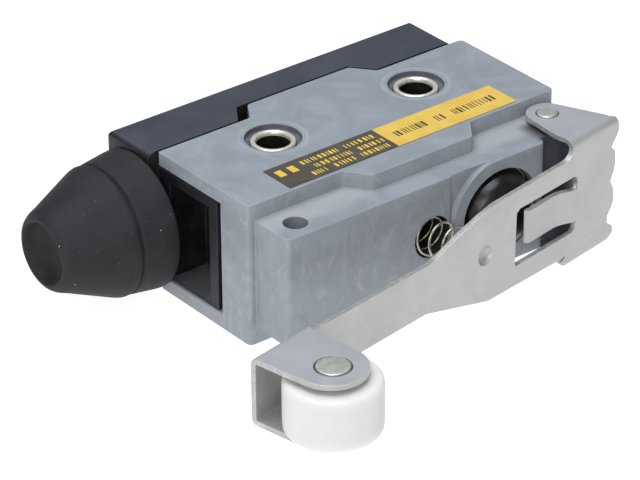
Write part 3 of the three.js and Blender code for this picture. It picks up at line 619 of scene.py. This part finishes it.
# ---- grey case ------------------------------------------------------------------------
def make_case():
    """The case, with painted shade inside the sleeve pockets and the blind holes."""
    bm = cad_mesh("case_shell")
    soften_edges(bm, 0.16)
    slack = 0.05
    for face in bm.faces:
        x, y, z = face.calc_center_median() / MM
        sleeve = math.hypot(abs(x) - HOLE_X, y) < POCKET_R + slack and z < HEIGHT - 0.1
        ledge_hole = math.dist((x, y), LEDGE_HOLE) < LEDGE_HOLE_R + slack and z < LEDGE_TOP - 0.13
        spring_hole = (
            math.dist((x, z), (SPRING_X, MID_Z)) < SPRING_HOLE_R + slack
            and SPRING_MOUTH + 0.15 < y < SPRING_HOLE_END + 0.9
        )
        # Faces inside the spring hole, the ledge hole and the sleeve pockets get the painted-shade
        # materials.
        face.material_index = 2 if spring_hole else 3 if ledge_hole else int(sleeve)
    mesh = finish_mesh("case_shell_looks", bm, GREY, RECESS, SHADED_HOLE, SCREW_HOLE)
    return add_piece("case_shell_looks", mesh, "housing", ["case_shell"])


# ---- black cover ----------------------------------------------------------------------
def make_cover():
    """The cover, glossy on the walls of its end pocket, with dust specks and painted light on the
    pocket's floor.
    """
    bm = cad_mesh("terminal_cover")
    soften_edges(bm, 0.12)
    pocket = ((-26.9, -20.9), (-4.4, 4.75), (2.45, 17.65))
    for face in bm.faces:
        c = face.calc_center_median() / MM
        inside = all(low < value < high for value, (low, high) in zip(c, pocket))
        # Up-facing pocket faces get the painted-light floor material.
        face.material_index = (2 if face.normal.z > 0.7 else 1) if inside else 0
    mesh = finish_mesh("terminal_cover_looks", bm, BLACK, POCKET, LIT_POCKET_FLOOR)
    return add_piece("terminal_cover_looks", mesh, "housing", ["terminal_cover"])


# ---- rubber boot ----------------------------------------------------------------------
def make_boot():
    """The cable boot, closed at its mouth."""
    outside = [
        (6.7, -29.25), (9.8, -29.25), (10.12, -29.5), (10.08, -30.3), (9.5, -34.6), (9.0, -34.9),
        (9.0, -35.1), (9.44, -35.16), (9.52, -35.6), (9.3, -36.3), (6.35, -43.1), (5.95, -44.2),
        (5.45, -44.95), (4.95, -45.25), (4.6, -45.2), (4.3, -44.7), (3.9, -43.9), (2.6, -43.2),
        (1.2, -43.05), (0, -43.0),
    ]
    mesh = lathe("cable_boot_looks", softened(outside, 0.35), "X", (0, BOOT_Y, MID_Z), 128)
    mesh.materials.append(RUBBER)
    return add_piece("cable_boot_looks", mesh, "housing", ["cable_boot"], 50)


# ---- sleeves --------------------------------------------------------------------------
def make_sleeve(name, x):
    """One mounting sleeve with its rolled rim and painted shade in its bore."""
    profile = [
        (SLEEVE_BORE, 0.6), (2.62, 0.32), (3.05, 0.3), (SLEEVE_R, 0.5), (SLEEVE_R, 20.98),
        (3.12, 21.18), (2.9, 21.25), (2.62, 21.22), (2.45, 21.02), (SLEEVE_BORE, 20.6),
        (SLEEVE_BORE, 10.0),
    ]
    mesh = lathe(name + "_looks", softened(profile, 0.1, 2), "Z", (x, 0, 0), 96, closed=True)
    mesh.materials.append(NICKEL)
    mesh.materials.append(SHADED_BORE)
    # Faces inside the bore get the painted-shade material.
    for face in mesh.polygons:
        off = math.hypot(face.center.x / MM - x, face.center.y / MM)
        within = 1.0 < face.center.z / MM < 20.6
        face.material_index = int(off < SLEEVE_BORE + 0.02 and within)
    return add_piece(name + "_looks", mesh, "housing", [name], 50)


# ---- labels and their generic print ---------------------------------------------------
LABEL = {"near": -12.95, "far": -7.0, "left": -19.85, "split": -1.0, "right": 20.15}
LABEL_TOP = HEIGHT + 0.12
INK = (LABEL_TOP + 0.004, LABEL_TOP + 0.016)


def slab(bm, corners, z0, z1):
    """Adds a flat plate between two heights."""
    low = [bm.verts.new(Vector((x, y, z0)) * MM) for x, y in corners]
    high = [bm.verts.new(Vector((x, y, z1)) * MM) for x, y in corners]
    bm.faces.new(low[::-1])
    bm.faces.new(high)
    for k in range(len(corners)):
        n = (k + 1) % len(corners)
        bm.faces.new((low[k], low[n], high[n], high[k]))


def make_label(name, x0, x1, material):
    bm = bmesh.new()
    y0, y1 = LABEL["near"], LABEL["far"]
    slab(bm, [(x0, y0), (x1, y0), (x1, y1), (x0, y1)], HEIGHT + 0.03, LABEL_TOP)
    bmesh.ops.bevel(bm, geom=bm.edges[:], offset=0.03 * MM, segments=1, affect="EDGES")
    mesh = finish_mesh(name + "_looks", bm, material)
    return add_piece(name + "_looks", mesh, "housing", [name])


def print_row(bm, spans, middle, height, rng):
    """Plain upright bars of made-up widths along each span of a row."""
    for x, end in spans:
        while x < end - 0.15:
            width = min(rng.choice((0.17, 0.17, 0.26, 0.4)), end - x)
            low, high = middle - height / 2, middle + height / 2
            corners = [(x, low), (x + width, low), (x + width, high), (x, high)]
            slab(bm, corners, *INK)
            x += width + rng.choice((0.25, 0.33, 0.45))


def make_print():
    """Bars in place of the print: one dark row, three yellow rows and two blocks."""
    rng = random.Random(7)
    bm = bmesh.new()
    print_row(bm, [(0.7, 6.1), (7.9, 9.3), (11.0, 18.7)], -10.1, 1.5, rng)
    mesh = finish_mesh("label_print_dark", bm, DARK_INK)
    add_piece("label_print_dark", mesh, "housing", ())
    bm = bmesh.new()
    print_row(bm, [(-14.5, -8.3), (-7.0, -1.6)], -8.5, 1.0, rng)
    print_row(bm, [(-13.4, -7.2), (-5.8, -1.6)], -10.2, 1.0, rng)
    print_row(bm, [(-15.0, -12.4), (-11.2, -7.8), (-6.6, -1.8)], -11.8, 1.0, rng)
    for a, b in ((-19.0, -17.9), (-16.9, -15.8)):
        corners = [(a, -9.9), (b, -9.9), (b, -8.2), (a, -8.2)]
        slab(bm, corners, *INK)
    mesh = finish_mesh("label_print_yellow", bm, YELLOW_INK)
    add_piece("label_print_yellow", mesh, "housing", ())


# ---- spring, seal and ring ------------------------------------------------------------
def make_spring():
    """The coil, which leans sideways more and more outside the case."""
    start, end = -14.3, -27.3
    turns, radius, lean, wire = 7.5, 2.62, 2.0, 0.18
    points = []
    for k in range(int(turns * 40) + 1):
        t = k / (turns * 40)
        even = min(max((t - 0.1) / 0.8, 0), 1)
        along = 0.03 * min(1, t / 0.1) + 0.94 * even + 0.03 * max(0, (t - 0.9) / 0.1)
        y = start + (end - start) * along
        out = max(0.0, (SPRING_MOUTH - y) / (SPRING_MOUTH - end))
        turn = t * turns * 2 * math.pi
        points.append((
            SPRING_X + lean * out**1.2 + radius * math.cos(turn), y, MID_Z + radius * math.sin(turn)
        ))
    mesh = tube("return_spring_looks", points, wire)
    mesh.materials.append(WIRE)
    obj = add_piece("return_spring_looks", mesh, "housing", ["return_spring"], 60)
    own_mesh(obj)
    return obj


def make_seal():
    """The rubber dome over the plunger."""
    apex = -23.8
    profile = [
        (0, apex), (1.6, apex + 0.04), (3.0, apex + 0.26), (4.2, apex + 0.8), (5.2, apex + 1.7),
        (5.85, apex + 2.9), (6.12, apex + 4.2), (6.15, -19.2), (6.9, SEAL_SEAT), (7.1, -18.8),
        (7.1, -17.9), (5.4, -17.9), (5.4, apex + 3.8), (5.0, apex + 2.8), (4.2, apex + 1.9),
        (3.0, apex + 1.35), (0, apex + 1.1),
    ]
    mesh = lathe("plunger_seal_looks", softened(profile, 0.4), "Y", (SEAL_X, 0, MID_Z), 96)
    mesh.materials.append(SEAL)
    obj = add_piece("plunger_seal_looks", mesh, "housing", ["plunger_seal"], 50)
    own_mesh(obj)
    return obj


def make_seal_wire():
    """Thin wire ring that holds the seal's mouth."""
    turn = [2 * math.pi * k / 12 for k in range(12)]
    profile = [(6.37 + 0.1 * math.cos(t), -19.45 + 0.1 * math.sin(t)) for t in turn]
    mesh = lathe("seal_retaining_wire", profile, "Y", (SEAL_X, 0, MID_Z), 96, closed=True)
    mesh.materials.append(PIN)
    return add_piece("seal_retaining_wire", mesh, "housing", (), 80)


# ---- lever and its pins ---------------------------------------------------------------
def make_lever():
    """The lever, with the sheared edge finish on the narrow faces round the sheet."""
    bm = cad_mesh("roller_lever")
    for face in bm.faces:
        steep = sum(
            e.calc_length() for e in face.edges
            if len(e.link_faces) == 2 and e.calc_face_angle(0.0) > math.radians(60)
        )
        around = face.calc_perimeter()
        narrow = face.calc_area() / (around / 2) < 0.85 * MM
        face.material_index = 1 if narrow and steep > 0.6 * around else 0
    soften_edges(bm, 0.07, angle=50.0)
    mesh = finish_mesh("roller_lever_looks", bm, SHEET, EDGE)
    return add_piece("roller_lever_looks", mesh, "lever", ["roller_lever"])


def make_hinge_pin():
    profile = [(0, 0.35), (1.5, 0.35), (1.5, 20.55), (0, 20.55)]
    centre = (HINGE[0], HINGE[1], 0)
    mesh = lathe("hinge_pin_looks", softened(profile, 0.24, 3), "Z", centre, 64)
    mesh.materials.append(PIN)
    return add_piece("hinge_pin_looks", mesh, "housing", ["hinge_pin"], 50)


def make_axle():
    profile = [
        (0, 5.88), (2.3, 5.88), (2.3, 6.8), (1.82, 6.8), (1.82, 14.6), (2.3, 14.6),
        (2.3, 16.12), (0, 16.12),
    ]
    x, y, _ = lever_point(*AXLE_AT)
    mesh = lathe("roller_axle_looks", softened(profile, 0.16, 3), "Z", (x, y, 0), 72)
    mesh.materials.append(PIN)
    return add_piece("roller_axle_looks", mesh, "lever", ["roller_axle"], 50)


def make_roller():
    profile = [
        (1.9, 6.9), (5.6, 6.9), (6.2, 6.98), (6.5, 7.3), (6.57, 8.0), (6.57, 13.4), (6.5, 14.1),
        (6.2, 14.42), (5.6, 14.5), (1.9, 14.5), (1.9, 10.6),
    ]
    x, y, _ = lever_point(*AXLE_AT)
    mesh = lathe("roller_looks", softened(profile, 0.3), "Z", (x, y, 0), 128, closed=True)
    mesh.materials.append(NYLON)
    return add_piece("roller_looks", mesh, "roller", ["roller"], 40)


def finish_hidden_nodes():
    """Materials of the CAD nodes that stay, most of them inside the case."""
    looks = {
        "cover_gasket": DULL_RUBBER, "cover_screw_left": ZINC, "cover_screw_right": ZINC,
        "insulating_sheet": FIBRE, "seal_ring": PIN, "plunger": PIN, "switch_base": PHENOLIC,
        "switch_lid": PHENOLIC_LID, "switch_button": RED, "snap_blade": COPPER,
        "moving_contact": SILVER, "terminal_com": BRASS, "terminal_no": BRASS,
        "terminal_nc": BRASS, "contact_nc": SILVER, "contact_no": SILVER,
    }
    for key in ("nc", "no", "com"):
        looks["clamp_" + key] = ZINC
        looks["screw_" + key] = ZINC
    for name, material in looks.items():
        data = nodes[name].data
        data.materials.clear()
        data.materials.append(material)


make_case()
make_cover()
make_boot()
make_sleeve("sleeve_left", -HOLE_X)
make_sleeve("sleeve_right", HOLE_X)
make_label("label_dark", LABEL["left"], LABEL["split"] - 0.02, DARK)
make_label("label_yellow", LABEL["split"] + 0.02, LABEL["right"], YELLOW)
make_print()
make_spring()
make_seal()
make_seal_wire()
make_lever()
make_hinge_pin()
make_axle()
make_roller()
finish_hidden_nodes()


# ---- floor, light and camera ----------------------------------------------------------
def make_stage():
    """A square floor, in metres, just under the case."""
    bm = bmesh.new()
    half, drop = 3.0, 0.00005
    corners = [(-half, -half), (half, -half), (half, half), (-half, half)]
    bm.faces.new([bm.verts.new((x, y, -drop)) for x, y in corners])
    mesh = finish_mesh("floor", bm, floor_material())
    obj = bpy.data.objects.new("floor", mesh)
    bpy.context.scene.collection.objects.link(obj)


def area_light(name, place, target, size, power, color=(1, 1, 1)):
    data = bpy.data.lights.new(name, "AREA")
    data.shape = "DISK"
    data.size = size
    data.energy = power
    data.color = color
    obj = bpy.data.objects.new(name, data)
    obj.location = place
    obj.rotation_mode = "QUATERNION"
    obj.rotation_quaternion = (Vector(target) - Vector(place)).to_track_quat("-Z", "Y")
    bpy.context.scene.collection.objects.link(obj)


def make_lights():
    area_light("top_softbox", (-0.05, 0.02, 0.5), (0, 0, 0.01), 0.45, 2.3, (0.93, 0.97, 1.0))
    area_light("front_fill", (-0.42, -0.36, 0.28), (0, -0.01, 0.01), 0.4, 1.5)
    world = bpy.data.worlds.new("studio")
    world.use_nodes = True
    background = world.node_tree.nodes["Background"]
    background.inputs[0].default_value = (1.0, 1.0, 1.0, 1)
    background.inputs[1].default_value = 0.28
    bpy.context.scene.world = world


def make_camera():
    """The photograph's viewing angle: azimuth, elevation, a slight roll and its long lens."""
    azimuth, elevation, roll = math.radians(-38.21), math.radians(29.636), math.radians(-0.426)
    distance, right_shift, up_shift = 535.7, -3.66, 0.745
    focal_pixels, width_pixels, sensor = 3782.74, 640, 36.0
    back = Vector((
        math.sin(azimuth) * math.cos(elevation),
        -math.cos(azimuth) * math.cos(elevation),
        math.sin(elevation),
    ))
    right = Vector((0, 0, 1)).cross(back).normalized()
    up = back.cross(right)
    right, up = (
        right * math.cos(roll) + up * math.sin(roll),
        up * math.cos(roll) - right * math.sin(roll),
    )
    data = bpy.data.cameras.new("camera")
    data.lens = sensor * focal_pixels / width_pixels
    data.sensor_width = sensor
    data.clip_start, data.clip_end = 0.01, 20.0
    obj = bpy.data.objects.new("camera", data)
    place = (back * distance + right * right_shift + up * up_shift) * MM
    obj.matrix_world = Matrix.Translation(place) @ Matrix((right, up, back)).transposed().to_4x4()
    bpy.context.scene.collection.objects.link(obj)
    bpy.context.scene.camera = obj


make_stage()
make_lights()
make_camera()
bpy.context.scene.view_settings.view_transform = "Standard"
